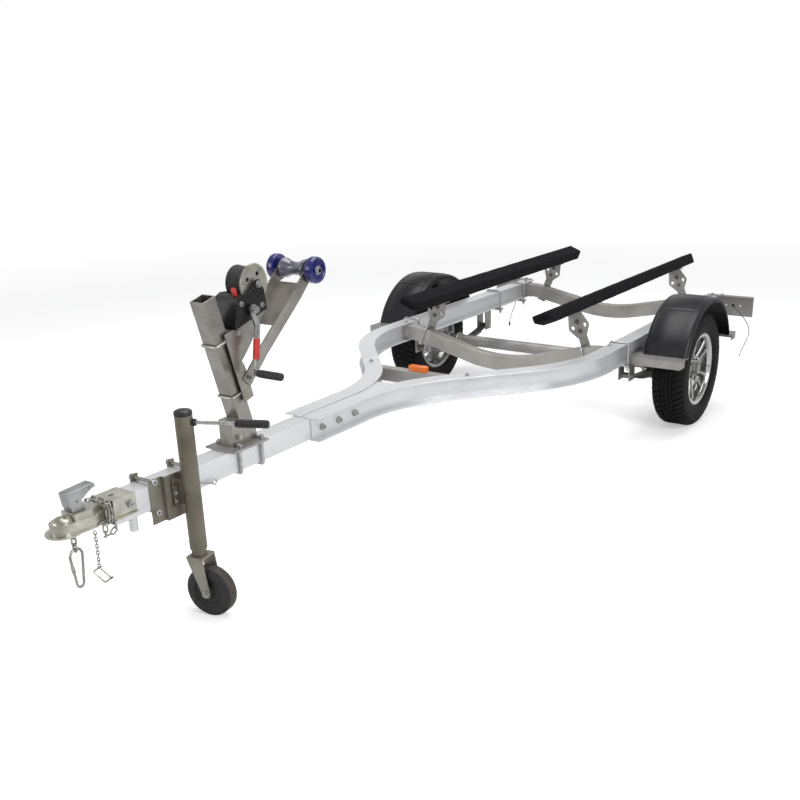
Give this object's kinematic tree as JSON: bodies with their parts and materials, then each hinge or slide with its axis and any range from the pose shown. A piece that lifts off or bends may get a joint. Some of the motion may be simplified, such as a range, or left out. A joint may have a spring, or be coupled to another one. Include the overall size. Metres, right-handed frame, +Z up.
{
  "type": "boat trailer",
  "caption": "Single-axle boat trailer with S-bent aluminium rails on a square drawbar, dished cross members, carpeted bunks, winch post, bow roller and swing-up jockey wheel.",
  "frame": {"origin": "centre of the footprint, on the ground", "axes": "+X forward to the coupler, +Y to the trailer's left side, +Z up"},
  "size_m": [4.274, 1.766, 1.0868],
  "materials": {
    "bright_aluminium": "smooth extruded, bright",
    "cast_aluminium": "dull, brushed",
    "galvanised": "dull galvanised",
    "dark_steel": "dull galvanised, worn",
    "plated_steel": "zinc plated",
    "jockey_paint": "satin olive grey",
    "black_steel": "satin black",
    "hub_steel": "dull",
    "rim_silver": "bright, machined",
    "tyre": "matte",
    "rubber": "matte",
    "jockey_rubber": "matte, worn",
    "fender_plastic": "moulded, satin",
    "lamp_plastic": "orange, clear",
    "nylon_blue": "deep blue",
    "nylon_clear": "smoky, wrapped",
    "carpet": "short black pile",
    "webbing": "black woven strap"
  },
  "bodies": {
    "chassis": {"drawbar": "bright_aluminium", "rail_left": "bright_aluminium", "rail_right": "bright_aluminium", "neck_member": "cast_aluminium", "marker_lamp": "lamp_plastic", "front_cross_member": "cast_aluminium", "rear_cross_member": "cast_aluminium", "axle_beam": "dark_steel", "leaf_springs": "dark_steel", "spring_hangers": "galvanised", "spring_plates": "galvanised", "fender_left": "fender_plastic", "fender_right": "fender_plastic", "front_steps": "galvanised", "rear_steps": "galvanised", "lamp_bracket_left": "galvanised", "lamp_bracket_right": "galvanised", "grommets": "rubber", "wire_left": "rubber", "wire_right": "rubber", "wire_plug": "rubber", "bunk_bars": "galvanised", "bunk_heads": "galvanised", "bunk_left": "carpet", "bunk_right": "carpet", "coupler": "plated_steel", "coupler_latch": "plated_steel", "safety_chain": "plated_steel", "snap_hook": "plated_steel", "winch_base": "galvanised", "winch_post": "cast_aluminium", "post_brace": "cast_aluminium", "winch_bracket": "cast_aluminium", "roller_arms": "cast_aluminium", "roller_shaft": "plated_steel", "winch_frame": "black_steel", "jockey_mount": "galvanised"},
    "wheel_left": {"hub_left": "hub_steel", "rim_left": "rim_silver", "tyre_left": "tyre"},
    "wheel_right": {"hub_right": "hub_steel", "rim_right": "rim_silver", "tyre_right": "tyre"},
    "roller": {"bow_roller": "nylon_clear", "roller_discs": "nylon_blue"},
    "drum": {"winch_gear": "plated_steel", "winch_drum": "webbing"},
    "crank": {"winch_crank": "plated_steel", "winch_grip": "rubber"},
    "jockey_stand": {"jockey_saddle": "jockey_paint", "jockey_tube": "jockey_paint", "jockey_cap": "rubber", "jockey_crank": "plated_steel"},
    "jockey_inner": {"jockey_leg": "jockey_paint"},
    "jockey_caster": {"jockey_fork": "jockey_paint"},
    "jockey_roller": {"jockey_wheel": "jockey_rubber"}
  },
  "joints": [
    {"name": "wheel_left_spin", "type": "hinge", "parent": "chassis", "child": "wheel_left", "pos_m": [-1.057, 0.775, 0.286], "axis": [0, 1, 0], "continuous": true},
    {"name": "wheel_right_spin", "type": "hinge", "parent": "chassis", "child": "wheel_right", "pos_m": [-1.057, -0.775, 0.286], "axis": [0, 1, 0], "continuous": true},
    {"name": "bow_roller_spin", "type": "hinge", "parent": "chassis", "child": "roller", "pos_m": [0.96555, 0, 1.02756], "axis": [0, 1, 0], "continuous": true},
    {"name": "winch_drum_spin", "type": "hinge", "parent": "chassis", "child": "drum", "pos_m": [1.23029, 0, 1.01874], "axis": [0, 1, 0], "continuous": true},
    {"name": "winch_crank_spin", "type": "hinge", "parent": "chassis", "child": "crank", "pos_m": [1.27562, 0, 0.94331], "axis": [0, 1, 0], "continuous": true},
    {"name": "jockey_stow", "type": "hinge", "parent": "chassis", "child": "jockey_stand", "pos_m": [1.668, 0.075, 0.4352], "axis": [0, -1, 0], "range_deg": [-90, 0]},
    {"name": "jockey_height", "type": "slide", "parent": "jockey_stand", "child": "jockey_inner", "axis": [0, 0, 1], "range_m": [-0.17, 0.012]},
    {"name": "jockey_swivel", "type": "hinge", "parent": "jockey_inner", "child": "jockey_caster", "pos_m": [1.668, 0.105, 0.209], "axis": [0, 0, 1], "continuous": true},
    {"name": "jockey_wheel_spin", "type": "hinge", "parent": "jockey_caster", "child": "jockey_roller", "pos_m": [1.6621, 0.13848, 0.086], "axis": [0.9848, 0.1736, 0], "continuous": true}
  ],
  "couplings": [
    {"joint": "winch_crank_spin", "follows": "winch_drum_spin", "ratio": -3}
  ]
}
